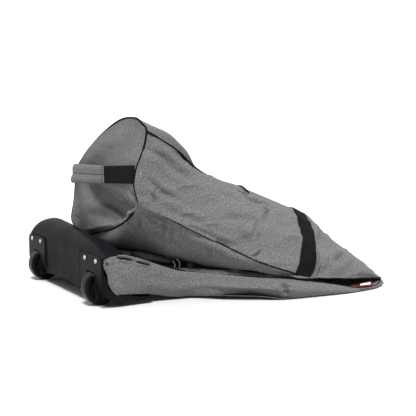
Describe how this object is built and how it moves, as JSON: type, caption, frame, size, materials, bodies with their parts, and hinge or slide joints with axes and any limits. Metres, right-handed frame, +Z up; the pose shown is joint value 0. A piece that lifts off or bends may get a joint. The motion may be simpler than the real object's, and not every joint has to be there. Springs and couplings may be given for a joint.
{
  "type": "wheeled travel bag",
  "caption": "Soft grey wheeled travel bag lying folded in half, with a curved black wheel end, two wheel housings, piped seams, a webbing strap and an end grab handle.",
  "frame": {"origin": "on the floor under the middle of the folded bag's box", "axes": "+X from the wheel end to the fold, -Y the near side, +Z up"},
  "size_m": [0.6855, 0.705, 0.3898],
  "materials": {
    "grey_fabric": "melange woven polyester, matt",
    "lining_fabric": "woven polyester, matt",
    "black_piping": "woven piping over a cord",
    "black_webbing": "ribbed polyester webbing",
    "coated_black": "coated black fabric, soft sheen",
    "black_plastic": "moulded, fine texture",
    "wheel_tyre": "smooth, semi-gloss tread",
    "steel": "bright nickel-plated steel",
    "base_board": "flat polypropylene board",
    "label": "blank satin label"
  },
  "bodies": {
    "lower_half": {"wheel_end_panel": "coated_black", "base_board": "base_board", "lower_near_gusset": "grey_fabric", "lower_far_gusset": "grey_fabric", "lower_back_panel": "grey_fabric", "lower_front_panel": "lining_fabric", "lower_near_top_piping": "black_piping", "lower_far_top_piping": "black_piping", "lower_near_floor_piping": "black_piping", "lower_far_floor_piping": "black_piping", "care_label": "label", "near_wheel_housing": "black_plastic", "far_wheel_housing": "black_plastic", "near_backing_plate": "steel", "far_backing_plate": "steel", "near_axle": "steel", "far_axle": "steel", "near_rivet_left": "steel", "near_rivet_right": "steel", "far_rivet_left": "steel", "far_rivet_right": "steel"},
    "near_wheel": {"near_wheel_tyre": "wheel_tyre", "near_wheel_hub": "black_plastic", "near_wheel_bush": "steel"},
    "far_wheel": {"far_wheel_tyre": "wheel_tyre", "far_wheel_hub": "black_plastic", "far_wheel_bush": "steel"},
    "upper_half": {"upper_back_panel": "grey_fabric", "upper_near_gusset": "grey_fabric", "upper_far_gusset": "grey_fabric", "upper_front_panel": "grey_fabric", "upper_end_panel": "grey_fabric", "end_panel_piping": "black_piping", "upper_near_lower_piping": "black_piping", "upper_near_top_piping": "black_piping", "upper_far_top_piping": "black_piping", "upper_far_lower_piping": "black_piping", "compression_strap": "black_webbing", "zip_tape": "black_webbing"},
    "grab_handle": {"handle_webbing": "black_webbing", "handle_wrap": "grey_fabric"},
    "zip_slider": {"zip_slider": "steel"},
    "zip_puller": {"zip_puller": "steel"}
  },
  "joints": [
    {"name": "bag_fold", "type": "hinge", "parent": "lower_half", "child": "upper_half", "pos_m": [0.342, 0, 0.0165], "axis": [0, 1, 0], "range_deg": [0, 140]},
    {"name": "near_wheel_spin", "type": "hinge", "parent": "lower_half", "child": "near_wheel", "pos_m": [-0.305, -0.16, 0.038], "axis": [0, 1, 0], "continuous": true},
    {"name": "far_wheel_spin", "type": "hinge", "parent": "lower_half", "child": "far_wheel", "pos_m": [-0.305, 0.16, 0.038], "axis": [0, 1, 0], "continuous": true},
    {"name": "handle_swing", "type": "hinge", "parent": "upper_half", "child": "grab_handle", "pos_m": [-0.2325, -0.007, 0.263], "axis": [0.0897, 0.994, -0.063], "range_deg": [-20, 22]},
    {"name": "zip_slide", "type": "slide", "parent": "upper_half", "child": "zip_slider", "axis": [0.9289, 0, -0.3703], "range_m": [0, 0.12]},
    {"name": "puller_swing", "type": "hinge", "parent": "zip_slider", "child": "zip_puller", "pos_m": [0.02576, -0.2098, 0.24504], "axis": [-0.9289, 0, 0.3703], "range_deg": [0, 150]}
  ]
}
